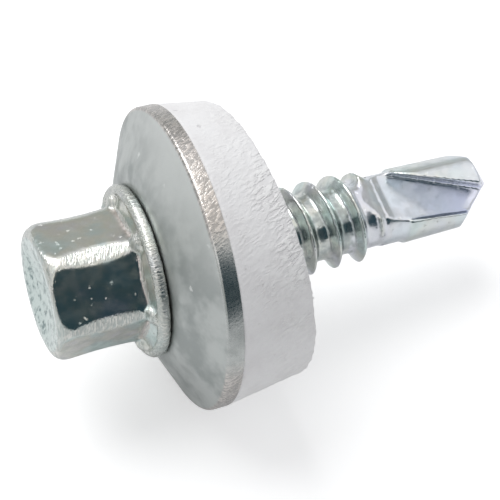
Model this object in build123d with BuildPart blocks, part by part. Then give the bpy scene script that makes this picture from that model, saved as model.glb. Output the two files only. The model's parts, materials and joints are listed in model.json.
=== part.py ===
from build123d import *
import os
from math import atan2, ceil, cos, radians, sin, tan

# A 6.3 mm self drilling roofing screw, 25.4 mm under the head, with a bonded sealing washer.
# It lies as it comes to rest: on the tapered rim of its washer, with the drill point tipped down.
# Origin: where the screw's axis crosses the seat under the head. +X runs along the screw.
# Lengths are in millimetres and angles in degrees. Heights are measured along the screw's axis
# from the seat, positive towards the point and negative towards the head. Directions round the
# axis are measured from straight up, towards -Y.

# ---- Hexagon head ----
across_flats = 8.0
head_height = 6.8
corner_width_at_end = 8.94   # across the blunted corners, near the end of the head
corner_width_at_waist = 8.64
corner_width_at_foot = 9.2
waist_height = 3.1           # of the narrowest place above the seat
end_bevel_height = 0.7
end_bevel_width = 0.4
end_easing = 0.2
dish_width = 6.4
dish_depth = 0.6
hexagon_turn = 14.0

# ---- Collar under the head ----
collar_diameter = 11.4
collar_edge_height = 0.6
collar_bead_height = 0.9
collar_bead_inset = 0.3      # from the edge in to the top of the bead
collar_groove_height = 0.68
collar_groove_inset = 0.34   # from the top of the bead in to the bottom of the groove
collar_foot_height = 1.05
collar_under_bevel = 0.14

# ---- Threaded shank ----
length_under_head = 25.4
thread_diameter = 6.3
root_diameter = 4.8
thread_pitch = 1.81          # 14 turns to the inch
thread_crest = 0.16
flank_angle = 29.0
thread_start = 3.37
thread_run_out = 1.1         # length over which the thread fades at each end
thread_sink = 0.2            # how deep the ridge is rooted in the core
thread_left = 0.02           # what is left of the ridge at its very ends

# ---- Drill point ----
drill_length = 8.6
drill_diameter = 5.0         # at the shoulders of the point
drill_diameter_at_thread = 5.25
shoulder_length = 0.35
point_angle = 116.0
flute_turn = 35.0            # direction that the first flute opens to
flute_run_out = 2.2          # length over which the flutes fade into the thread
flute_start = 0.34           # from the shoulder to where a flute's floor spans the whole body
flute_overshoot = 0.5        # how far the cut runs past the point
flute_hollow = 0.1           # how much the floor is hollowed
# The floor's distance from the axis, and how far it turns away from flute_turn
floor_distance_in_thread = 2.6
floor_distance_at_start = 1.71
floor_distance_past_point = 0.22
floor_tilt_at_start = 25.3
floor_tilt_past_point = 7.3
# How far to the side the floor reaches: to the foot of the cutting face, and to that of the heel
face_reach_at_start = -2.0
face_reach_past_point = 0.62
face_slope = -3.0
heel_reach_at_start = 2.0
heel_reach_past_point = 1.8
heel_slope = 12.0

# ---- Steel washer ----
washer_diameter = 20.0
sheet_thickness = 1.0
crown_margin = 0.4           # flat part under the collar, beyond the collar's edge
dish_drop = 1.85             # from the crown to the rim
bend_easing = 0.7
rim_bevel = 0.16
steel_bore_clearance = 0.45
seat_gap = 0.04
screw_rest_gap = 0.05        # under the screw, which lies in the bottom of the loose washer's bore
washer_sway = 0.09           # how far the washers sit towards -Y, where the whole balances

# ---- Rubber washer ----
rubber_thickness = 4.6       # at the rim, where it is neither thickest nor thinnest
rubber_draw_in = 0.59        # how much less its radius is at the rear
rubber_bore_clearance = 0.6
rubber_lean = 6.0            # its rear face leans by this angle
rubber_lean_turn = 130.0     # direction of its thickest side
rubber_bevel = 0.25

# ---- Heights and radii that follow ----
thread_radius = thread_diameter / 2
root_radius = root_diameter / 2
thread_depth = thread_radius - root_radius
ridge_half_width = thread_crest / 2 + (thread_depth + thread_sink) * tan(radians(flank_angle))
drill_radius = drill_diameter / 2
drill_start = length_under_head - drill_length
thread_end = drill_start - shoulder_length
thread_turns = (thread_end - thread_start) / thread_pitch
tip_height = drill_radius / tan(radians(point_angle / 2))
steel_bore_radius = thread_radius + steel_bore_clearance
rubber_bore_radius = thread_radius + rubber_bore_clearance
collar_radius = collar_diameter / 2
bead_radius = collar_radius - collar_bead_inset
groove_radius = bead_radius - collar_groove_inset
crown_radius = collar_radius + crown_margin
washer_radius = washer_diameter / 2
rim_front = seat_gap + dish_drop
rubber_front = rim_front + sheet_thickness
rubber_rear = rubber_front + rubber_thickness
rubber_rear_radius = washer_radius - rubber_draw_in
rubber_taper = rubber_draw_in / rubber_thickness
lean_rise = washer_radius * tan(radians(rubber_lean))

# The tapered side of the rubber lies flat on the ground, which sets the tilt of the screw.
rest_tilt = atan2(rubber_draw_in, rubber_thickness)
along = Vector(cos(rest_tilt), 0, -sin(rest_tilt))
upward = Vector(sin(rest_tilt), 0, cos(rest_tilt))
screw_axis = Axis((0, 0, 0), along)
half_section = Plane(origin=(0, 0, 0), x_dir=upward, z_dir=(0, 1, 0))   # x is radius, y is height
washer_lift = steel_bore_clearance - screw_rest_gap
washer_middle = upward * washer_lift - Vector(0, washer_sway, 0)
washer_axis = Axis(washer_middle, along)
washer_section = Plane(origin=washer_middle, x_dir=upward, z_dir=(0, 1, 0))


def across(height, turn=0):
    """The plane square to the axis at this height, its x direction turned from straight up."""
    return Plane(origin=along * height, x_dir=upward.rotate(screw_axis, turn), z_dir=along)


# ---- Screw: head, collar, shank, thread and drill point are forged and rolled from one wire ----
with BuildPart() as screw:
    # Hexagon, its corners blunted to a waist and its end bevelled
    with BuildSketch(across(-head_height, hexagon_turn)):
        RegularPolygon(across_flats / 2, 6, major_radius=False)
    extrude(amount=head_height)
    with BuildSketch(half_section):
        with BuildLine():
            corner = ThreePointArc(
                (corner_width_at_end / 2, end_bevel_height - head_height),
                (corner_width_at_waist / 2, -waist_height),
                (corner_width_at_foot / 2, 0),
            )
            Polyline(corner @ 1, (0, 0), (0, -head_height),
                     (corner_width_at_end / 2 - end_bevel_width, -head_height), corner @ 0)
        make_face()
        chamfer(vertices().sort_by(Axis.X)[2:4], end_easing)
    revolve(axis=screw_axis, mode=Mode.INTERSECT)

    # Dished end
    with BuildSketch(half_section):
        with BuildLine():
            dish = ThreePointArc(
                (-dish_width / 2, -head_height),
                (0, dish_depth - head_height),
                (dish_width / 2, -head_height),
            )
            Line(dish @ 1, dish @ 0)
        make_face()
        split(bisect_by=Plane.YZ)
    revolve(axis=screw_axis, mode=Mode.SUBTRACT)

    # Collar, with a bead round its edge and a shallow groove inside the bead
    with BuildSketch(half_section):
        Polygon((0, 0), (collar_radius - collar_under_bevel, 0),
                (collar_radius, -collar_under_bevel), (collar_radius, -collar_edge_height),
                (bead_radius, -collar_bead_height), (groove_radius, -collar_groove_height),
                (across_flats / 2, -collar_foot_height), (0, -collar_foot_height), align=None)
    revolve(axis=screw_axis)

    # Core of the shank, and the plain body of the drill point
    with BuildSketch(half_section):
        Polygon((0, 0), (root_radius, 0), (root_radius, thread_end),
                (drill_diameter_at_thread / 2, drill_start),
                (drill_radius, length_under_head - tip_height),
                (0, length_under_head), align=None)
    revolve(axis=screw_axis)

    # Thread: a ridge wound round the core, turn by turn
    for turn in range(ceil(thread_turns)):
        turn_start = along * (thread_start + turn * thread_pitch)
        with BuildLine():
            winding = Helix(thread_pitch, min(1, thread_turns - turn) * thread_pitch, root_radius,
                            center=turn_start, direction=along)
        foot = winding @ 0
        with BuildSketch(Plane(origin=foot, x_dir=foot - turn_start, z_dir=winding % 0)):
            Polygon((-thread_sink, -ridge_half_width), (thread_depth, -thread_crest / 2),
                    (thread_depth, thread_crest / 2), (-thread_sink, ridge_half_width), align=None)
        sweep(path=winding, is_frenet=True)

    # Both ends of the thread fade into the core: a cone, opening away from each end, cuts them down
    faded_radius = root_radius + thread_left
    for end, inward in ((thread_start, 1), (thread_end, -1)):
        with BuildSketch(half_section):
            Polygon((faded_radius, end - inward * thread_pitch), (faded_radius, end),
                    (faded_radius + 2 * thread_depth, end + inward * 2 * thread_run_out),
                    (faded_radius + 2 * thread_depth, end - inward * thread_pitch), align=None)
        revolve(axis=screw_axis, mode=Mode.SUBTRACT)

    # Two flutes pressed into the drill body, each with a cutting face, a floor and a heel
    flute_sections = (
        (drill_start + flute_start - flute_run_out, floor_distance_in_thread,
         floor_tilt_at_start, face_reach_at_start, heel_reach_at_start),
        (drill_start + flute_start, floor_distance_at_start,
         floor_tilt_at_start, face_reach_at_start, heel_reach_at_start),
        (length_under_head + flute_overshoot, floor_distance_past_point,
         floor_tilt_past_point, face_reach_past_point, heel_reach_past_point),
    )
    for half_turn in (0, 180):
        for height, distance, tilt, face_reach, heel_reach in flute_sections:
            face = Vector(distance, face_reach).rotate(Axis.Z, -tilt)
            heel = Vector(distance, heel_reach).rotate(Axis.Z, -tilt)
            deepest = Vector(distance - flute_hollow, (face_reach + heel_reach) / 2)
            face_flare = (drill_diameter - face.X) * tan(radians(face_slope))
            heel_flare = (drill_diameter - heel.X) * tan(radians(heel_slope))
            with BuildSketch(across(height, flute_turn + half_turn)):
                with BuildLine():
                    floor = ThreePointArc(face, deepest.rotate(Axis.Z, -tilt), heel)
                    Polyline(floor @ 1, (drill_diameter, heel.Y + heel_flare),
                             (drill_diameter, face.Y - face_flare), floor @ 0)
                make_face()
        loft(ruled=True, mode=Mode.SUBTRACT)

screw.part.label = "screw"

# ---- Steel washer: a dished ring pressed from sheet ----
with BuildPart() as steel_washer:
    with BuildSketch(washer_section):
        Polygon((steel_bore_radius, seat_gap), (crown_radius, seat_gap),
                (washer_radius, rim_front), (washer_radius, rubber_front),
                (crown_radius, seat_gap + sheet_thickness),
                (steel_bore_radius, seat_gap + sheet_thickness), align=None)
        chamfer(vertices().sort_by(Axis.X)[2:4], bend_easing)
        chamfer(vertices().sort_by(Axis.X)[-2:].sort_by(Axis.Y)[0], rim_bevel)
    revolve(axis=washer_axis)

steel_washer.part.label = "steel_washer"

# ---- Rubber washer: moulded on behind the steel one, with a rear face that leans ----
with BuildPart() as rubber_washer:
    with BuildSketch(washer_section):
        Polygon((rubber_bore_radius, seat_gap + sheet_thickness),
                (crown_radius, seat_gap + sheet_thickness), (washer_radius, rubber_front),
                (rubber_rear_radius - rubber_taper * lean_rise, rubber_rear + lean_rise),
                (rubber_bore_radius, rubber_rear + lean_rise), align=None)
        chamfer(vertices().sort_by(Axis.X)[2], bend_easing)
    revolve(axis=washer_axis)
    thick_side = upward.rotate(screw_axis, rubber_lean_turn)
    lean = radians(rubber_lean)
    split(bisect_by=Plane(origin=along * rubber_rear + washer_middle,
                          z_dir=along * cos(lean) - thick_side * sin(lean)), keep=Keep.BOTTOM)
    chamfer(faces().filter_by(GeomType.PLANE).sort_by(SortBy.AREA)[-1].outer_wire().edges(),
            rubber_bevel)

rubber_washer.part.label = "rubber_washer"

os.makedirs("parts", exist_ok=True)
for piece in (screw, steel_washer, rubber_washer):
    export_step(piece.part, f"parts/{piece.part.label}.step")
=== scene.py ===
import json
import math
import bpy
from mathutils import Matrix, Vector

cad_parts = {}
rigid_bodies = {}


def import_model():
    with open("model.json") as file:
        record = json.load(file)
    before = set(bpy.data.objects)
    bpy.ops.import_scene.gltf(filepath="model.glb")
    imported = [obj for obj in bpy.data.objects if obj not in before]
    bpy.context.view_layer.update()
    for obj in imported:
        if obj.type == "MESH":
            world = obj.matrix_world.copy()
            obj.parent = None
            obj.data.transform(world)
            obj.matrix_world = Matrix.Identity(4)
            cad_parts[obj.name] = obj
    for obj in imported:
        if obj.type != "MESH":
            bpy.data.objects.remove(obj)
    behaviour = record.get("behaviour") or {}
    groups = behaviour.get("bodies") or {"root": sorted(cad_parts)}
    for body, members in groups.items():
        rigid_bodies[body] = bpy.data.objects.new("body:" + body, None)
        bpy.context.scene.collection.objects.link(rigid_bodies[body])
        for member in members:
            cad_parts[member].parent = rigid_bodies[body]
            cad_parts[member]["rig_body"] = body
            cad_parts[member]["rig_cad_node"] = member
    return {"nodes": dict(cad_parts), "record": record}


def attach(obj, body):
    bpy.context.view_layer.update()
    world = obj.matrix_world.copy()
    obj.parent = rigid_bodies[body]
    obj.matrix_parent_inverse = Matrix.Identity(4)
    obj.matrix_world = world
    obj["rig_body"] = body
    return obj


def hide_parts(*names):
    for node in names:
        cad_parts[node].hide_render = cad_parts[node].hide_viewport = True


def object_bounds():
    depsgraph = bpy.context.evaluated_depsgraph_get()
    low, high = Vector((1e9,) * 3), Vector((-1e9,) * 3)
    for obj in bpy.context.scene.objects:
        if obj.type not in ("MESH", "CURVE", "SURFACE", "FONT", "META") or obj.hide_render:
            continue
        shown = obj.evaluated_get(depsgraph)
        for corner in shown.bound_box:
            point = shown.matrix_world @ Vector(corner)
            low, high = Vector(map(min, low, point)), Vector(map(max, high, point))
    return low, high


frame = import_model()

cad_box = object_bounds()

# ---- Floor and light ----
# The screw lies on a plain white floor under one large soft lamp. The room is bright overhead
# and dim at eye level, which is what bright plating needs round it to look like metal.
floor_size = 3.0
floor_white = (0.86, 0.86, 0.86, 1)
floor_lift = 0.41
floor_lift_far = 0.57
floor_lift_mirrored = 0.08
floor_near = 0.06
floor_far = 0.8
lamp_place = Vector((-0.06, 0.15, 0.30))
lamp_width = 0.28
lamp_power = 0.72
room_level = (0.49, 0.495, 0.505, 1)
wall_low = (0.76, 0.81, 0.81, 1)
wall_middle = (0.42, 0.41, 0.375, 1)
wall_middle_height = 0.34
wall_high = (0.98, 0.98, 1.01, 1)
wall_high_height = 0.50
ceiling = (1.12, 1.07, 1.01, 1)
dark_side = (0.028, 0.058, 0.072, 1)
dark_side_way = Vector((0.11, -0.91, 0.39)).normalized()
dark_side_rim = 0.80
dark_side_core = 0.90


def add_node(tree, kind, settings={}, sockets={}):
    """A new node of this kind in the tree, with its settings and its sockets' values filled in."""
    made = tree.nodes.new(kind)
    for name, value in settings.items():
        setattr(made, name, value)
    for name, value in sockets.items():
        made.inputs[name].default_value = value
    return made


bpy.ops.object.select_all(action="DESELECT")
bpy.ops.mesh.primitive_plane_add(size=floor_size, location=(0, 0, cad_box[0].z))
floor = bpy.context.object
floor.name = "floor"
floor_paint = bpy.data.materials.new("floor_paint")
floor_paint.use_nodes = True
tree, join = floor_paint.node_tree, floor_paint.node_tree.links.new
tree.nodes.clear()
matt = add_node(tree, "ShaderNodeBsdfDiffuse", sockets={"Color": floor_white})
ray = add_node(tree, "ShaderNodeLightPath")
mirrored = add_node(tree, "ShaderNodeMath", {"operation": "MULTIPLY"}, {1: floor_lift_mirrored})
place = add_node(tree, "ShaderNodeTexCoord")
away = add_node(tree, "ShaderNodeVectorMath", {"operation": "LENGTH"})
lift = add_node(tree, "ShaderNodeMapRange", sockets={
    "From Min": floor_near, "From Max": floor_far,
    "To Min": floor_lift, "To Max": floor_lift_far})
strength = add_node(tree, "ShaderNodeMath", {"operation": "MULTIPLY_ADD"})
glow = add_node(tree, "ShaderNodeEmission")
both = add_node(tree, "ShaderNodeAddShader")
out = add_node(tree, "ShaderNodeOutputMaterial")
join(ray.outputs["Is Glossy Ray"], mirrored.inputs[0])
join(place.outputs["Object"], away.inputs[0])
join(away.outputs["Value"], lift.inputs["Value"])
join(ray.outputs["Is Camera Ray"], strength.inputs[0])
join(lift.outputs["Result"], strength.inputs[1])
join(mirrored.outputs[0], strength.inputs[2])
join(strength.outputs[0], glow.inputs["Strength"])
join(matt.outputs[0], both.inputs[0])
join(glow.outputs[0], both.inputs[1])
join(both.outputs[0], out.inputs["Surface"])
floor.data.materials.append(floor_paint)

bpy.ops.object.light_add(type="AREA", location=lamp_place)
lamp = bpy.context.object
lamp.name = "soft_lamp"
lamp.data.shape = "DISK"
lamp.data.size = lamp_width
lamp.data.energy = lamp_power
lamp.rotation_euler = lamp_place.to_track_quat("Z", "Y").to_euler()

# The room: white to the camera; to the plating it is bright overhead, grey round the walls and
# dark in front, where whoever looks at the screw stands.
room = bpy.data.worlds.new("room")
bpy.context.scene.world = room
room.use_nodes = True
tree, join = room.node_tree, room.node_tree.links.new
tree.nodes.clear()
light = add_node(tree, "ShaderNodeBackground", sockets={"Color": room_level})
white = add_node(tree, "ShaderNodeBackground", sockets={"Color": (1, 1, 1, 1)})
mirrored = add_node(tree, "ShaderNodeBackground")
way = add_node(tree, "ShaderNodeTexCoord")
apart = add_node(tree, "ShaderNodeSeparateXYZ")
walls = add_node(tree, "ShaderNodeValToRGB")
steps = walls.color_ramp.elements
steps[0].position, steps[0].color = 0.0, wall_low
steps[1].position, steps[1].color = 1.0, ceiling
steps.new(wall_middle_height).color = wall_middle
steps.new(wall_high_height).color = wall_high
front = add_node(tree, "ShaderNodeVectorMath", {"operation": "DOT_PRODUCT"}, {1: dark_side_way})
shade = add_node(tree, "ShaderNodeMapRange", {"interpolation_type": "SMOOTHSTEP"},
                 {"From Min": dark_side_rim, "From Max": dark_side_core})
dim = add_node(tree, "ShaderNodeMix", {"data_type": "RGBA"}, {"B": dark_side})
ray = add_node(tree, "ShaderNodeLightPath")
for_plating = add_node(tree, "ShaderNodeMixShader")
for_camera = add_node(tree, "ShaderNodeMixShader")
out = add_node(tree, "ShaderNodeOutputWorld")
join(way.outputs["Generated"], apart.inputs[0])
join(apart.outputs["Z"], walls.inputs["Fac"])
join(way.outputs["Generated"], front.inputs[0])
join(front.outputs["Value"], shade.inputs["Value"])
join(shade.outputs["Result"], dim.inputs["Factor"])
join(walls.outputs["Color"], dim.inputs["A"])
join(dim.outputs["Result"], mirrored.inputs["Color"])
join(ray.outputs["Is Glossy Ray"], for_plating.inputs["Fac"])
join(light.outputs[0], for_plating.inputs[1])
join(mirrored.outputs[0], for_plating.inputs[2])
join(ray.outputs["Is Camera Ray"], for_camera.inputs["Fac"])
join(for_plating.outputs[0], for_camera.inputs[1])
join(white.outputs[0], for_camera.inputs[2])
join(for_camera.outputs[0], out.inputs["Surface"])

bpy.context.scene.view_settings.view_transform = "Standard"

# ---- Camera ----
# A short telephoto view from above, on the head's side, with the point going away to the right.
camera_azimuth = math.radians(-22.18)
camera_elevation = math.radians(54.605)
camera_distance = 0.096154
camera_aim = Vector((0.0068667, -0.0016991, 0.000724))
camera_back = Vector((
    math.sin(camera_azimuth) * math.cos(camera_elevation),
    -math.cos(camera_azimuth) * math.cos(camera_elevation),
    math.sin(camera_elevation),
))
bpy.ops.object.camera_add(location=camera_aim + camera_back * camera_distance)
camera = bpy.context.object
camera.rotation_euler = camera_back.to_track_quat("Z", "Y").to_euler()
camera.data.sensor_width = 36
camera.data.lens = 108
camera.data.clip_start = 0.005
bpy.context.scene.camera = camera

# ---- Screw ----
# One forging of case hardened steel wire: a hexagon head with a collar, a rolled thread and a
# drill point with two pressed flutes. Forging and plating leave every edge a little soft.
along = Vector(frame["record"]["mounts"][0]["axis"])
upward = Vector((-along.z, 0, along.x))
screw_tilt = math.atan2(-along.z, along.x)
hexagon_turn = math.radians(14)
flat_distance = 0.004
bevel_inner_radius = 0.0037
bead_inner_radius = 0.0051
bead_foot = 0.00095
bead_front = 0.0012
web_size = 0.00066
web_distance = 0.0046
web_height = 0.00069
shank_radius = 0.0026
flute_start = 0.0138
# where the painted shade in the roots of the thread ends
root_shade_stop = 0.0142
thread_stop = 0.01645
lumps_stop = 0.0166
tip_height = 0.0254
point_relief_turn = math.radians(100)
point_relief_height = 0.02535
point_relief_slope = 1.15
point_cut_size = 0.01
screw_weld = 0.0000005
screw_mesh_size = 0.000113
point_softness = 0.45
lump_size = 0.0012
lump_depth = 0.0001
head_lumps = 0.25
thread_lumps = 1.0
point_lumps = 0.08

bpy.ops.object.select_all(action="DESELECT")
screw = frame["nodes"]["screw"].copy()
screw.data = screw.data.copy()
bpy.context.scene.collection.objects.link(screw)
screw.name = "plated_screw"
screw.parent = None
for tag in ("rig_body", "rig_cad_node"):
    del screw[tag]
screw.select_set(True)
bpy.context.view_layer.objects.active = screw
bpy.ops.object.mode_set(mode="EDIT")
bpy.ops.mesh.select_all(action="SELECT")
bpy.ops.mesh.remove_doubles(threshold=screw_weld)
bpy.ops.object.mode_set(mode="OBJECT")

# Behind each cutting edge the point falls away in a flat.
for side in range(2):
    relief_turn = point_relief_turn + side * math.pi
    across = upward * math.cos(relief_turn) - Vector((0, math.sin(relief_turn), 0))
    facing = (along + across * point_relief_slope).normalized()
    bpy.ops.mesh.primitive_cube_add(
        size=point_cut_size, location=along * point_relief_height + facing * point_cut_size / 2,
        rotation=facing.to_track_quat("Z", "Y").to_euler())
    cutter = bpy.context.object
    bpy.context.view_layer.objects.active = screw
    flat = screw.modifiers.new("point_relief", "BOOLEAN")
    flat.operation = "DIFFERENCE"
    flat.object = cutter
    bpy.ops.object.modifier_apply(modifier="point_relief")
    bpy.data.objects.remove(cutter)

# Metal squeezed out at the foot of each corner of the hexagon runs into the bead of the collar.
screw.select_set(True)
bpy.ops.object.mode_set(mode="EDIT")
for corner in range(6):
    corner_turn = hexagon_turn + corner * math.pi / 3
    across = upward * math.cos(corner_turn) - Vector((0, math.sin(corner_turn), 0))
    bpy.ops.mesh.primitive_uv_sphere_add(
        segments=24, ring_count=12, radius=web_size,
        location=across * web_distance - along * web_height)
bpy.ops.object.mode_set(mode="OBJECT")
skin = screw.modifiers.new("even_mesh", "REMESH")
skin.mode = "VOXEL"
skin.voxel_size = screw_mesh_size
bpy.ops.object.modifier_apply(modifier="even_mesh")

# The drill point keeps crisper edges than the rest.
soft_parts = screw.vertex_groups.new(name="soft_parts")
for point in screw.data.vertices:
    softness = 1.0 if point.co.dot(along) < thread_stop else point_softness
    soft_parts.add([point.index], softness, "REPLACE")
ease = screw.modifiers.new("eased_edges", "SMOOTH")
ease.factor = 0.5
ease.iterations = 7
ease.vertex_group = "soft_parts"
bpy.ops.object.modifier_apply(modifier="eased_edges")

# Rolling leaves the thread and the neck behind it a little lumpy, forging the head less so, and
# the drill point is nearly even.
lumpy_parts = screw.vertex_groups.new(name="lumpy_parts")
for point in screw.data.vertices:
    height = point.co.dot(along)
    lumpiness = head_lumps if height < 0 else thread_lumps if height < lumps_stop else point_lumps
    lumpy_parts.add([point.index], lumpiness, "REPLACE")
lumps = bpy.data.textures.new("lumps", "CLOUDS")
lumps.noise_scale = lump_size
uneven = screw.modifiers.new("uneven_skin", "DISPLACE")
uneven.texture = lumps
uneven.mid_level = 1.0
uneven.strength = lump_depth
uneven.vertex_group = "lumpy_parts"
bpy.ops.object.modifier_apply(modifier="uneven_skin")
bpy.ops.object.shade_smooth()



def place_about(point, middle):
    """How high along the screw's axis a point is, its way out from there, and its turn about it."""
    outward = point - middle
    height = outward.dot(along)
    outward -= along * height
    return height, outward, math.atan2(-outward.y, outward.dot(upward))


def rise(value, start, reach):
    """0 up to the start, 1 from the reach beyond it on, and an even climb between the two."""
    return min(max((value - start) / reach, 0), 1)


def write_marks(piece, marks, strokes):
    """Stores each mark's amounts and the place for the strokes at the points of the piece."""
    for name, amounts in marks.items():
        piece.data.attributes.new(name, "FLOAT", "POINT").data.foreach_set("value", amounts)
    vectors = piece.data.attributes.new("strokes", "FLOAT_VECTOR", "POINT").data
    vectors.foreach_set("vector", strokes)


# What the tools did to each place: the corners of the hexagon, the bevel round its end and the
# bead of the collar are scuffed, the end is mottled, and the foot of the hexagon is tinted
# pinkish-brown. The thread is painted paler than the head and the drill point paler still, a
# painted reflection. Its pressed flutes carry a painted sheen, paler and bluer and brightest
# towards the tip, and the roots of the thread are painted darker in blotches, a painted shade.
end_face_lean = 0.5
corner_edge = 0.00002
corner_fade = 0.00006
bevel_edge = 0.15
bevel_fade = 0.2
# The flutes carry a painted sheen, paler and bluer, brightest towards the tip.
flute_fade = 0.0002
flute_bright_start = 0.0205
flute_sheen = 0.45
# The foot of the hexagon is tinted pinkish-brown.
brown_foot_radius = 0.0043
brown_foot_reach = 0.0015
brown_foot_fade = 0.0004
# The thread and the drill point are painted paler, a painted reflection.
painted_light_thread = 0.45
painted_light_fade = 0.0006
root_rise = 0.00015
root_fade = 0.0003
bead_scuff = 0.65
bevel_scuff = 0.7
bead_slant = -120
across_to_along = 4.7
hexagon_slant = 0.35

marks = {"scuffed": [], "mottled": [], "brown_foot": [], "painted_light": [], "pressed": [], "rooted": []}
strokes = []
for point in screw.data.vertices:
    height, outward, turn = place_about(point.co, Vector((0, 0, 0)))
    radius = outward.length
    endwise = -point.normal.dot(along)
    from_flat = math.remainder(turn - hexagon_turn - math.pi / 6, math.pi / 3)
    beyond_flat = flat_distance - radius * math.cos(from_flat)
    on_corner = rise(beyond_flat, corner_edge, corner_fade)
    on_bevel = rise(endwise, bevel_edge, bevel_fade) if radius > bevel_inner_radius else 0
    on_hexagon = height < -bead_foot
    on_bead = radius > bead_inner_radius and height > -bead_front
    on_thread = bead_foot < height < root_shade_stop
    in_flute = rise(shank_radius - radius, 0, flute_fade) if height > flute_start else 0
    towards_tip = rise(height, flute_bright_start, tip_height - flute_bright_start)
    stroke_turn = turn + bead_slant * radius
    if on_bead:
        strokes += (radius * math.cos(stroke_turn),
                    across_to_along * radius * math.sin(stroke_turn), radius + height)
    else:
        strokes += (height - hexagon_slant * outward.y, outward.dot(upward), outward.y)
    marks["scuffed"].append(
        bead_scuff if on_bead else
        0 if not on_hexagon else
        on_corner if endwise < end_face_lean else bevel_scuff * on_bevel)
    marks["mottled"].append(
        1 if on_hexagon and endwise > end_face_lean and not on_bevel else 0)
    marks["brown_foot"].append(
        rise(height, -brown_foot_reach, brown_foot_fade) if on_hexagon and radius < brown_foot_radius else 0)
    marks["painted_light"].append(
        max(rise(height, lumps_stop, painted_light_fade), painted_light_thread if height > bead_foot else 0))
    marks["pressed"].append(in_flute * (flute_sheen + (1 - flute_sheen) * towards_tip))
    marks["rooted"].append(
        rise(shank_radius + root_rise - radius, 0, root_fade) if on_thread else 0)
write_marks(screw, marks, strokes)

# Worked metal and rubber share one pattern group: a fine grain, slow blotches, short scratches
# that follow the piece's own strokes, and small ragged pits.
worked_skin = bpy.data.node_groups.new("worked_skin", "ShaderNodeTree")
for name, kind in (("Place", "NodeSocketVector"), ("Grain Fineness", "NodeSocketFloat"),
                   ("Blotch Fineness", "NodeSocketFloat"), ("Scratch Place", "NodeSocketVector"),
                   ("Scratch Fineness", "NodeSocketVector"), ("Pit Fineness", "NodeSocketFloat"),
                   ("Pit Share", "NodeSocketFloat")):
    worked_skin.interface.new_socket(name=name, in_out="INPUT", socket_type=kind)
for name in ("Grain", "Blotches", "Scratches", "Pits"):
    worked_skin.interface.new_socket(name=name, in_out="OUTPUT", socket_type="NodeSocketFloat")
tree, join = worked_skin, worked_skin.links.new
given = add_node(tree, "NodeGroupInput")
grain = add_node(tree, "ShaderNodeTexNoise", sockets={"Detail": 4.0, "Roughness": 0.65})
blotch = add_node(tree, "ShaderNodeTexNoise", sockets={"Detail": 3.0, "Roughness": 0.55})
spread = add_node(tree, "ShaderNodeMapRange", {"interpolation_type": "SMOOTHSTEP"},
                  {"From Min": 0.36, "From Max": 0.66})
stretched = add_node(tree, "ShaderNodeMapping")
scratch = add_node(tree, "ShaderNodeTexNoise",
                   sockets={"Scale": 1.0, "Detail": 2.0, "Roughness": 0.6})
scratched = add_node(tree, "ShaderNodeMapRange", {"interpolation_type": "SMOOTHSTEP"},
                     {"From Min": 0.40, "From Max": 0.62})
ragged = add_node(tree, "ShaderNodeVectorMath", {"operation": "MULTIPLY_ADD"},
                  {1: (0.55, 0.55, 0.55)})
cells = add_node(tree, "ShaderNodeTexVoronoi")
hollow = add_node(tree, "ShaderNodeMapRange", {"interpolation_type": "SMOOTHSTEP"},
                  {"From Min": 0.21, "From Max": 0.10})
lot = add_node(tree, "ShaderNodeSeparateColor")
chosen = add_node(tree, "ShaderNodeMath", {"operation": "LESS_THAN"})
pitted = add_node(tree, "ShaderNodeMath", {"operation": "MULTIPLY"})
given_back = add_node(tree, "NodeGroupOutput")
join(given.outputs["Place"], grain.inputs["Vector"])
join(given.outputs["Grain Fineness"], grain.inputs["Scale"])
join(given.outputs["Place"], blotch.inputs["Vector"])
join(given.outputs["Blotch Fineness"], blotch.inputs["Scale"])
join(blotch.outputs["Fac"], spread.inputs["Value"])
join(given.outputs["Scratch Place"], stretched.inputs["Vector"])
join(given.outputs["Scratch Fineness"], stretched.inputs["Scale"])
join(stretched.outputs[0], scratch.inputs["Vector"])
join(scratch.outputs["Fac"], scratched.inputs["Value"])
join(grain.outputs["Color"], ragged.inputs[0])
join(given.outputs["Place"], ragged.inputs[2])
join(ragged.outputs[0], cells.inputs["Vector"])
join(given.outputs["Pit Fineness"], cells.inputs["Scale"])
join(cells.outputs["Distance"], hollow.inputs["Value"])
join(cells.outputs["Color"], lot.inputs["Color"])
join(lot.outputs["Red"], chosen.inputs[0])
join(given.outputs["Pit Share"], chosen.inputs[1])
join(hollow.outputs["Result"], pitted.inputs[0])
join(chosen.outputs[0], pitted.inputs[1])
join(grain.outputs["Fac"], given_back.inputs["Grain"])
join(spread.outputs["Result"], given_back.inputs["Blotches"])
join(scratched.outputs["Result"], given_back.inputs["Scratches"])
join(pitted.outputs[0], given_back.inputs["Pits"])


def add_skin(tree, turn, fineness):
    """The pattern group in a material's tree, turned by this much about Y, and its place in mm."""
    place = add_node(tree, "ShaderNodeTexCoord")
    in_mm = add_node(tree, "ShaderNodeMapping",
                     sockets={"Scale": (1000, 1000, 1000), "Rotation": (0, turn, 0)})
    stroke = add_node(tree, "ShaderNodeAttribute", {"attribute_name": "strokes"})
    skin = add_node(tree, "ShaderNodeGroup", {"node_tree": worked_skin}, fineness)
    tree.links.new(place.outputs["Object"], in_mm.inputs["Vector"])
    tree.links.new(in_mm.outputs[0], skin.inputs["Place"])
    tree.links.new(stroke.outputs["Vector"], skin.inputs["Scratch Place"])
    return skin, in_mm
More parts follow.
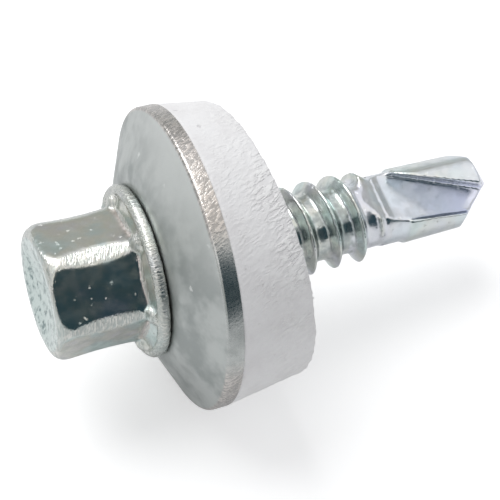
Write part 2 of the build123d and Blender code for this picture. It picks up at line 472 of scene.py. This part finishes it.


# Bright zinc over steel: a cool grey with faint teal, straw and lilac in it. Each mark of the tools
# and each painted reflection, sheen, shade and glint is laid over the last, and the scuffed places
# are scratched light and dark.
plating = bpy.data.materials.new("zinc_plating")
plating.use_nodes = True
tree, join = plating.node_tree, plating.node_tree.links.new
metal = tree.nodes["Principled BSDF"]
metal.inputs["Metallic"].default_value = 1.0
stroke_width = 8000 / across_to_along
skin, in_mm = add_skin(tree, -screw_tilt, {
    "Grain Fineness": 6.0, "Blotch Fineness": 1.3, "Pit Fineness": 2.1, "Pit Share": 0.30,
    "Scratch Fineness": (8000, stroke_width, stroke_width)})
tint = add_node(tree, "ShaderNodeTexNoise", sockets={"Scale": 0.42, "Detail": 2.0})
tints = add_node(tree, "ShaderNodeValToRGB")
steps = tints.color_ramp.elements
steps[0].position, steps[0].color = 0.30, (0.56, 0.67, 0.65, 1)
steps[1].position, steps[1].color = 0.70, (0.645, 0.65, 0.70, 1)
steps.new(0.42).color = (0.60, 0.665, 0.65, 1)
steps.new(0.50).color = (0.655, 0.665, 0.61, 1)
steps.new(0.59).color = (0.655, 0.655, 0.635, 1)
mottle = add_node(tree, "ShaderNodeMix", {"data_type": "RGBA", "blend_type": "MULTIPLY"},
                  {"B": (0.80, 0.82, 0.82, 1)})
brown_foot_mask = add_node(tree, "ShaderNodeAttribute", {"attribute_name": "brown_foot"})
brown = add_node(tree, "ShaderNodeMix", {"data_type": "RGBA"}, {"B": (0.68, 0.62, 0.59, 1)})
scuff = add_node(tree, "ShaderNodeAttribute", {"attribute_name": "scuffed"})
scratches = add_node(tree, "ShaderNodeMix", {"data_type": "RGBA"},
                     {"A": (0.45, 0.485, 0.47, 1), "B": (0.67, 0.675, 0.64, 1)})
bright = add_node(tree, "ShaderNodeMix", {"data_type": "RGBA"})
end = add_node(tree, "ShaderNodeAttribute", {"attribute_name": "mottled"})
end_noise = add_node(tree, "ShaderNodeTexNoise",
                     sockets={"Scale": 2.2, "Detail": 4.0, "Roughness": 0.7})
fleck_lot = add_node(tree, "ShaderNodeMapRange", {"interpolation_type": "SMOOTHSTEP"},
                     {"From Min": 0.36, "From Max": 0.52})
flecks = add_node(tree, "ShaderNodeMix", {"data_type": "RGBA"},
                  {"A": (0.20, 0.27, 0.27, 1), "B": (0.60, 0.68, 0.66, 1)})
ended = add_node(tree, "ShaderNodeMix", {"data_type": "RGBA"})
# Painted reflection: the thread and the drill point are painted paler.
painted_light = add_node(tree, "ShaderNodeAttribute", {"attribute_name": "painted_light"})
painted_lighter = add_node(tree, "ShaderNodeMix", {"data_type": "RGBA"}, {"B": (0.76, 0.83, 0.82, 1)})
painted_lighter_share = add_node(tree, "ShaderNodeMath", {"operation": "MULTIPLY"}, {1: 0.5})
# Painted sheen: the flutes are painted paler and bluer, most towards the tip.
press = add_node(tree, "ShaderNodeAttribute", {"attribute_name": "pressed"})
sheen = add_node(tree, "ShaderNodeMix", {"data_type": "RGBA"}, {"B": (0.81, 0.83, 0.96, 1)})
# Painted shade: the roots of the thread are painted darker, in blotches.
root = add_node(tree, "ShaderNodeAttribute", {"attribute_name": "rooted"})
root_painted_shade = add_node(tree, "ShaderNodeMix", {"data_type": "RGBA"}, {"B": (0.38, 0.42, 0.42, 1)})
root_shade_share = add_node(tree, "ShaderNodeMath", {"operation": "MULTIPLY"})
# Painted glints: the pits are painted lighter, beside the hollows that the bump makes.
pit_painted_glint = add_node(tree, "ShaderNodeMix", {"data_type": "RGBA"}, {"B": (0.90, 0.90, 0.87, 1)})
pit_share = add_node(tree, "ShaderNodeMath", {"operation": "MULTIPLY"}, {1: 0.25})
dull = add_node(tree, "ShaderNodeMapRange", sockets={"To Min": 0.16, "To Max": 0.27})
dull_scuff = add_node(tree, "ShaderNodeMath", {"operation": "MULTIPLY_ADD"}, {1: 0.10})
cut = add_node(tree, "ShaderNodeMath", {"operation": "MULTIPLY"})
cut_height = add_node(tree, "ShaderNodeMath", {"operation": "MULTIPLY_ADD"}, {1: 1.5})
grain_height = add_node(tree, "ShaderNodeMath", {"operation": "MULTIPLY"}, {1: 0.22})
deep = add_node(tree, "ShaderNodeMath", {"operation": "MULTIPLY_ADD"}, {1: -1.3})
relief = add_node(tree, "ShaderNodeBump", sockets={"Strength": 0.5, "Distance": 0.00003})
join(in_mm.outputs[0], tint.inputs["Vector"])
join(tint.outputs["Fac"], tints.inputs["Fac"])
join(tints.outputs["Color"], mottle.inputs["A"])
join(skin.outputs["Blotches"], mottle.inputs["Factor"])
join(mottle.outputs["Result"], brown.inputs["A"])
join(brown_foot_mask.outputs["Fac"], brown.inputs["Factor"])
join(skin.outputs["Scratches"], scratches.inputs["Factor"])
join(brown.outputs["Result"], bright.inputs["A"])
join(scratches.outputs["Result"], bright.inputs["B"])
join(scuff.outputs["Fac"], bright.inputs["Factor"])
join(in_mm.outputs[0], end_noise.inputs["Vector"])
join(end_noise.outputs["Fac"], fleck_lot.inputs["Value"])
join(fleck_lot.outputs["Result"], flecks.inputs["Factor"])
join(bright.outputs["Result"], ended.inputs["A"])
join(flecks.outputs["Result"], ended.inputs["B"])
join(end.outputs["Fac"], ended.inputs["Factor"])
join(ended.outputs["Result"], painted_lighter.inputs["A"])
join(painted_light.outputs["Fac"], painted_lighter_share.inputs[0])
join(painted_lighter_share.outputs[0], painted_lighter.inputs["Factor"])
join(painted_lighter.outputs["Result"], sheen.inputs["A"])
join(press.outputs["Fac"], sheen.inputs["Factor"])
join(sheen.outputs["Result"], root_painted_shade.inputs["A"])
join(root.outputs["Fac"], root_shade_share.inputs[0])
join(skin.outputs["Blotches"], root_shade_share.inputs[1])
join(root_shade_share.outputs[0], root_painted_shade.inputs["Factor"])
join(root_painted_shade.outputs["Result"], pit_painted_glint.inputs["A"])
join(skin.outputs["Pits"], pit_share.inputs[0])
join(pit_share.outputs[0], pit_painted_glint.inputs["Factor"])
join(pit_painted_glint.outputs["Result"], metal.inputs["Base Color"])
join(skin.outputs["Blotches"], dull.inputs["Value"])
join(scuff.outputs["Fac"], dull_scuff.inputs[0])
join(dull.outputs["Result"], dull_scuff.inputs[2])
join(dull_scuff.outputs[0], metal.inputs["Roughness"])
join(scuff.outputs["Fac"], cut.inputs[0])
join(skin.outputs["Scratches"], cut.inputs[1])
join(skin.outputs["Grain"], grain_height.inputs[0])
join(cut.outputs[0], cut_height.inputs[0])
join(grain_height.outputs[0], cut_height.inputs[2])
join(skin.outputs["Pits"], deep.inputs[0])
join(cut_height.outputs[0], deep.inputs[2])
join(deep.outputs[0], relief.inputs["Height"])
join(relief.outputs["Normal"], metal.inputs["Normal"])
screw.data.materials.clear()
screw.data.materials.append(plating)
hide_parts("screw")
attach(screw, "screw")

# ---- Steel washer ----
# A ring blanked and dished from galvanised sheet. It hangs loose on the shank under the collar.
# The press leaves its edge rough and its face satin.
steel_bore = 0.0036
crown_radius = 0.0061
washer_radius = 0.00999
sheet = 0.001
dish_drop = 0.00185
seat_gap = 0.00004
washer_lift = 0.0004
washer_sway = 0.00009
washer_middle = upward * washer_lift - Vector((0, washer_sway, 0))
bend_width = 0.0006
edge_width = 0.00014
torn_start = 0.00974
round_steps = 256
washer_weld = 0.000001
same_place = 0.00001
to_screw_axis = Matrix((
    (upward.x, along.x, 0), (0, 0, 1), (upward.z, along.z, 0))).to_quaternion()

# Its cross-section is a flat strip whose outer part is pushed back by the dish. It is spun into a
# ring, and its bends and its front rim are rounded.
bpy.ops.object.select_all(action="DESELECT")
bpy.ops.mesh.primitive_plane_add(size=1)
steel = bpy.context.object
steel.name = "dished_washer"
bpy.ops.object.mode_set(mode="EDIT")
bpy.ops.transform.resize(value=(washer_radius - steel_bore, sheet, 1))
bpy.ops.transform.translate(value=((washer_radius + steel_bore) / 2, seat_gap + sheet / 2, 0))
bpy.ops.mesh.bisect(plane_co=(crown_radius, 0, 0), plane_no=(1, 0, 0))
bpy.ops.mesh.select_all(action="DESELECT")
bpy.ops.object.mode_set(mode="OBJECT")
for point in steel.data.vertices:
    point.select = point.co.x > crown_radius + bend_width
bpy.ops.object.mode_set(mode="EDIT")
bpy.ops.transform.translate(value=(0, dish_drop, 0))
bpy.ops.mesh.select_all(action="SELECT")
bpy.ops.mesh.bisect(plane_co=(torn_start, 0, 0), plane_no=(1, 0, 0))
bpy.ops.mesh.select_all(action="SELECT")
bpy.ops.mesh.delete(type="ONLY_FACE")
bpy.ops.mesh.select_mode(type="EDGE")
bpy.ops.mesh.select_all(action="DESELECT")
bpy.ops.object.mode_set(mode="OBJECT")
for line in steel.data.edges:
    line.select = any(
        all(abs(steel.data.vertices[v].co.x - cut_radius) < same_place for v in line.vertices)
        for cut_radius in (crown_radius, torn_start))
bpy.ops.object.mode_set(mode="EDIT")
bpy.ops.mesh.delete(type="EDGE")
bpy.ops.mesh.select_mode(type="VERT")
bpy.ops.mesh.select_all(action="SELECT")
bpy.ops.mesh.spin(steps=round_steps, angle=2 * math.pi, center=(0, 0, 0), axis=(0, 1, 0))
bpy.ops.mesh.select_all(action="SELECT")
bpy.ops.mesh.remove_doubles(threshold=washer_weld)
bpy.ops.mesh.normals_make_consistent(inside=False)
for ring_radius, ring_height, width, segments in (
    (crown_radius, seat_gap, bend_width, 8),
    (crown_radius, seat_gap + sheet, bend_width, 8),
    (washer_radius, seat_gap + dish_drop, edge_width, 5),
):
    bpy.ops.mesh.select_mode(type="EDGE")
    bpy.ops.mesh.select_all(action="DESELECT")
    bpy.ops.object.mode_set(mode="OBJECT")
    for line in steel.data.edges:
        line.select = all(
            abs(math.hypot(steel.data.vertices[v].co.x, steel.data.vertices[v].co.z) - ring_radius)
            + abs(steel.data.vertices[v].co.y - ring_height) < same_place for v in line.vertices)
    bpy.ops.object.mode_set(mode="EDIT")
    bpy.ops.mesh.bevel(offset=width, segments=segments)
bpy.ops.mesh.select_mode(type="VERT")
bpy.ops.object.mode_set(mode="OBJECT")
steel.rotation_mode = "QUATERNION"
steel.rotation_quaternion = to_screw_axis
steel.location = washer_middle
bpy.ops.object.transform_apply(location=True, rotation=True, scale=True)
bpy.ops.object.shade_smooth_by_angle(angle=math.radians(40))

# Satin galvanised sheet: slow cloudy blotches and a soft grain. The sheared rim is torn light and
# dark in short strokes, apart from one stretch that the die left smooth, and the zinc is painted
# lighter towards the top, a painted highlight.
smooth_from = math.radians(28)
smooth_to = math.radians(88)
smooth_fade = math.radians(10)
smooth_share = 0.9
rim_fade = 0.0001
tear_slant = 50
tear_length = 0.5
# The washer is painted lighter towards its top, a painted highlight.
painted_top_light_from = 0.0055
painted_top_light_fade = 0.004

marks = {"rim": [], "torn": [], "painted_top_light": []}
strokes = []
for point in steel.data.vertices:
    height, outward, turn = place_about(point.co, washer_middle)
    on_rim = rise(outward.length, torn_start, rim_fade)
    into_smooth = rise(min(turn - smooth_from, smooth_to - turn), 0, smooth_fade)
    stroke_turn = turn + tear_slant * height
    strokes += (washer_radius * math.cos(stroke_turn), washer_radius * math.sin(stroke_turn),
                tear_length * height)
    marks["rim"].append(on_rim)
    marks["torn"].append(on_rim * (1 - smooth_share * into_smooth))
    marks["painted_top_light"].append(rise(outward.dot(upward), painted_top_light_from, painted_top_light_fade))
write_marks(steel, marks, strokes)

galvanised = bpy.data.materials.new("galvanised_sheet")
galvanised.use_nodes = True
tree, join = galvanised.node_tree, galvanised.node_tree.links.new
metal = tree.nodes["Principled BSDF"]
metal.inputs["Metallic"].default_value = 1.0
skin, in_mm = add_skin(tree, -screw_tilt, {
    "Grain Fineness": 7.0, "Blotch Fineness": 0.5, "Pit Fineness": 1.0, "Pit Share": 0.08,
    "Scratch Fineness": (5000, 5000, 5000)})
cloud = add_node(tree, "ShaderNodeMix", {"data_type": "RGBA"},
                 {"A": (0.52, 0.545, 0.535, 1), "B": (0.35, 0.375, 0.37, 1)})
# Painted highlight: lighter towards the top of the washer.
painted_top_light = add_node(tree, "ShaderNodeAttribute", {"attribute_name": "painted_top_light"})
painted_top_lightening = add_node(tree, "ShaderNodeMix", {"data_type": "RGBA"}, {"B": (0.64, 0.66, 0.65, 1)})
fleck = add_node(tree, "ShaderNodeMix", {"data_type": "RGBA"}, {"B": (0.68, 0.70, 0.69, 1)})
edge = add_node(tree, "ShaderNodeAttribute", {"attribute_name": "rim"})
tear = add_node(tree, "ShaderNodeAttribute", {"attribute_name": "torn"})
tears = add_node(tree, "ShaderNodeMix", {"data_type": "RGBA"},
                 {"A": (0.39, 0.38, 0.37, 1), "B": (0.59, 0.56, 0.535, 1)})
torn_rim = add_node(tree, "ShaderNodeMix", {"data_type": "RGBA"})
dull = add_node(tree, "ShaderNodeMapRange", sockets={"To Min": 0.36, "To Max": 0.50})
rim_dull = add_node(tree, "ShaderNodeMath", {"operation": "MULTIPLY_ADD"}, {1: -0.16})
tear_height = add_node(tree, "ShaderNodeMath", {"operation": "MULTIPLY"})
heights = add_node(tree, "ShaderNodeMath", {"operation": "MULTIPLY_ADD"}, {1: 1.3})
relief = add_node(tree, "ShaderNodeBump", sockets={"Strength": 0.35, "Distance": 0.00003})
join(skin.outputs["Blotches"], cloud.inputs["Factor"])
join(cloud.outputs["Result"], painted_top_lightening.inputs["A"])
join(painted_top_light.outputs["Fac"], painted_top_lightening.inputs["Factor"])
join(painted_top_lightening.outputs["Result"], fleck.inputs["A"])
join(skin.outputs["Pits"], fleck.inputs["Factor"])
join(skin.outputs["Scratches"], tears.inputs["Factor"])
join(fleck.outputs["Result"], torn_rim.inputs["A"])
join(tears.outputs["Result"], torn_rim.inputs["B"])
join(tear.outputs["Fac"], torn_rim.inputs["Factor"])
join(torn_rim.outputs["Result"], metal.inputs["Base Color"])
join(skin.outputs["Grain"], dull.inputs["Value"])
join(edge.outputs["Fac"], rim_dull.inputs[0])
join(dull.outputs["Result"], rim_dull.inputs[2])
join(rim_dull.outputs[0], metal.inputs["Roughness"])
join(tear.outputs["Fac"], tear_height.inputs[0])
join(skin.outputs["Scratches"], tear_height.inputs[1])
join(tear_height.outputs[0], heights.inputs[0])
join(skin.outputs["Grain"], heights.inputs[2])
join(heights.outputs[0], relief.inputs["Height"])
join(relief.outputs["Normal"], metal.inputs["Normal"])
steel.data.materials.append(galvanised)
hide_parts("steel_washer")
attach(steel, "washer")

# ---- Rubber washer ----
# A thick ring of white sealing rubber, moulded on behind the steel one and drawn in towards the
# rear. Its rear face was cut off at a lean, and the cutting has left streaks and nicks.
rubber_bore = 0.00375
rubber_thickness = 0.0046
rubber_draw_in = 0.00059
rubber_lean = math.radians(6)
rubber_lean_turn = math.radians(130)
rubber_mesh_size = 0.00014
lean_rise = washer_radius * math.tan(rubber_lean)
front_height = seat_gap + sheet
rim_height = front_height + dish_drop
rear_height = rim_height + rubber_thickness
rear_radius = washer_radius - rubber_draw_in * (rubber_thickness + lean_rise) / rubber_thickness

# Its cross-section follows the dish in front and draws in behind. It is spun into a ring, cut off
# at the lean and closed there, and its edges are eased.
bpy.ops.object.select_all(action="DESELECT")
bpy.ops.mesh.primitive_plane_add(size=1)
rubber = bpy.context.object
rubber.name = "sealing_washer"
bpy.ops.object.mode_set(mode="EDIT")
bpy.ops.transform.resize(value=(
    washer_radius - rubber_bore, rear_height + lean_rise - front_height, 1))
bpy.ops.transform.translate(value=(
    (washer_radius + rubber_bore) / 2, (rear_height + lean_rise + front_height) / 2, 0))
bpy.ops.mesh.bisect(plane_co=(crown_radius, 0, 0), plane_no=(1, 0, 0))
for at_rear, step in ((False, (0, dish_drop, 0)), (True, (rear_radius - washer_radius, 0, 0))):
    bpy.ops.mesh.select_all(action="DESELECT")
    bpy.ops.object.mode_set(mode="OBJECT")
    for point in rubber.data.vertices:
        at_side = point.co.x > crown_radius + bend_width
        point.select = at_side and (point.co.y > rear_height) == at_rear
    bpy.ops.object.mode_set(mode="EDIT")
    bpy.ops.transform.translate(value=step)
bpy.ops.mesh.select_all(action="SELECT")
bpy.ops.mesh.delete(type="ONLY_FACE")
bpy.ops.mesh.select_mode(type="EDGE")
bpy.ops.mesh.select_all(action="DESELECT")
bpy.ops.object.mode_set(mode="OBJECT")
for line in rubber.data.edges:
    line.select = all(
        abs(rubber.data.vertices[v].co.x - crown_radius) < same_place for v in line.vertices)
bpy.ops.object.mode_set(mode="EDIT")
bpy.ops.mesh.delete(type="EDGE")
bpy.ops.mesh.select_mode(type="VERT")
bpy.ops.mesh.select_all(action="SELECT")
bpy.ops.mesh.spin(steps=round_steps, angle=2 * math.pi, center=(0, 0, 0), axis=(0, 1, 0))
bpy.ops.mesh.select_all(action="SELECT")
bpy.ops.mesh.remove_doubles(threshold=washer_weld)
bpy.ops.mesh.normals_make_consistent(inside=False)
bpy.ops.mesh.bisect(
    plane_co=(0, rear_height, 0), clear_outer=True,
    plane_no=(-math.cos(rubber_lean_turn) * math.sin(rubber_lean), math.cos(rubber_lean),
              math.sin(rubber_lean_turn) * math.sin(rubber_lean)))
bpy.ops.mesh.bridge_edge_loops()
bpy.ops.object.mode_set(mode="OBJECT")
rubber.rotation_mode = "QUATERNION"
rubber.rotation_quaternion = to_screw_axis
rubber.location = washer_middle
bpy.ops.object.transform_apply(location=True, rotation=True, scale=True)
skin = rubber.modifiers.new("even_mesh", "REMESH")
skin.mode = "VOXEL"
skin.voxel_size = rubber_mesh_size
bpy.ops.object.modifier_apply(modifier="even_mesh")
ease = rubber.modifiers.new("eased_edges", "SMOOTH")
ease.factor = 0.5
ease.iterations = 5
bpy.ops.object.modifier_apply(modifier="eased_edges")

# Cutting has left the side a little wavy and the rear rim nicked.
cut_parts = rubber.vertex_groups.new(name="cut_parts")
for point in rubber.data.vertices:
    height, outward, turn = place_about(point.co, washer_middle)
    cut_parts.add([point.index], rise(height, rim_height, rubber_thickness), "REPLACE")
for name, noise_size, depth in (("waves", 0.0022, 0.00008), ("nicks", 0.0005, 0.0001)):
    pattern = bpy.data.textures.new(name, "CLOUDS")
    pattern.noise_scale = noise_size
    cut = rubber.modifiers.new(name, "DISPLACE")
    cut.texture = pattern
    cut.mid_level = 1.0
    cut.strength = depth
    cut.vertex_group = "cut_parts"
    bpy.ops.object.modifier_apply(modifier=name)
bpy.ops.object.shade_smooth()

# White rubber: matt, with a papery grain, small pits, and short slashes that the knife left, most
# of them towards the rear and to one side.
slash_side = math.radians(45)
slash_all_round = 0.25
slash_slant = 35
slash_length = 0.6

slashed, strokes = [], []
for point in rubber.data.vertices:
    height, outward, turn = place_about(point.co, washer_middle)
    to_side = max(math.cos(turn - slash_side), 0)
    slashed.append(rise(height, rim_height, rubber_thickness)
                   * (slash_all_round + (1 - slash_all_round) * to_side))
    stroke_turn = turn + slash_slant * height
    strokes += (washer_radius * math.cos(stroke_turn), washer_radius * math.sin(stroke_turn),
                slash_length * (outward.length + height))
write_marks(rubber, {"slashed": slashed}, strokes)

white_rubber = bpy.data.materials.new("white_rubber")
white_rubber.use_nodes = True
tree, join = white_rubber.node_tree, white_rubber.node_tree.links.new
matt = tree.nodes["Principled BSDF"]
skin, in_mm = add_skin(tree, 0, {
    "Grain Fineness": 2.6, "Blotch Fineness": 0.5, "Pit Fineness": 1.3, "Pit Share": 0.2,
    "Scratch Fineness": (3600, 3600, 3600)})
slash = add_node(tree, "ShaderNodeAttribute", {"attribute_name": "slashed"})
slash_lot = add_node(tree, "ShaderNodeTexNoise", sockets={"Scale": 0.45, "Detail": 2.0})
slash_patch = add_node(tree, "ShaderNodeMapRange", {"interpolation_type": "SMOOTHSTEP"},
                       {"From Min": 0.40, "From Max": 0.62, "To Min": 0.15, "To Max": 1.0})
slash_here = add_node(tree, "ShaderNodeMath", {"operation": "MULTIPLY_ADD"}, {2: 0.12})
slash_height = add_node(tree, "ShaderNodeMath", {"operation": "MULTIPLY"})
slash_rise = add_node(tree, "ShaderNodeMath", {"operation": "MULTIPLY_ADD"}, {1: 1.5})
slash_light = add_node(tree, "ShaderNodeMix", {"data_type": "RGBA"}, {"B": (0.93, 0.93, 0.925, 1)})
cloud = add_node(tree, "ShaderNodeMix", {"data_type": "RGBA"},
                 {"A": (0.875, 0.87, 0.875, 1), "B": (0.825, 0.815, 0.82, 1)})
pit_shade = add_node(tree, "ShaderNodeMix", {"data_type": "RGBA", "blend_type": "MULTIPLY"},
                     {"B": (0.86, 0.85, 0.86, 1)})
dented = add_node(tree, "ShaderNodeMath", {"operation": "MULTIPLY_ADD"}, {1: -0.8})
relief = add_node(tree, "ShaderNodeBump", sockets={"Strength": 0.7, "Distance": 0.00007})
matt.inputs["Roughness"].default_value = 0.6
matt.inputs["Specular IOR Level"].default_value = 0.35
join(in_mm.outputs[0], slash_lot.inputs["Vector"])
join(slash_lot.outputs["Fac"], slash_patch.inputs["Value"])
join(slash.outputs["Fac"], slash_here.inputs[0])
join(slash_patch.outputs["Result"], slash_here.inputs[1])
join(slash_here.outputs[0], slash_height.inputs[0])
join(skin.outputs["Scratches"], slash_height.inputs[1])
join(skin.outputs["Blotches"], cloud.inputs["Factor"])
join(cloud.outputs["Result"], pit_shade.inputs["A"])
join(skin.outputs["Pits"], pit_shade.inputs["Factor"])
join(pit_shade.outputs["Result"], slash_light.inputs["A"])
join(slash_height.outputs[0], slash_light.inputs["Factor"])
join(slash_light.outputs["Result"], matt.inputs["Base Color"])
join(slash_height.outputs[0], slash_rise.inputs[0])
join(skin.outputs["Grain"], slash_rise.inputs[2])
join(skin.outputs["Pits"], dented.inputs[0])
join(slash_rise.outputs[0], dented.inputs[2])
join(dented.outputs[0], relief.inputs["Height"])
join(relief.outputs["Normal"], matt.inputs["Normal"])
rubber.data.materials.append(white_rubber)
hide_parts("rubber_washer")
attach(rubber, "washer")
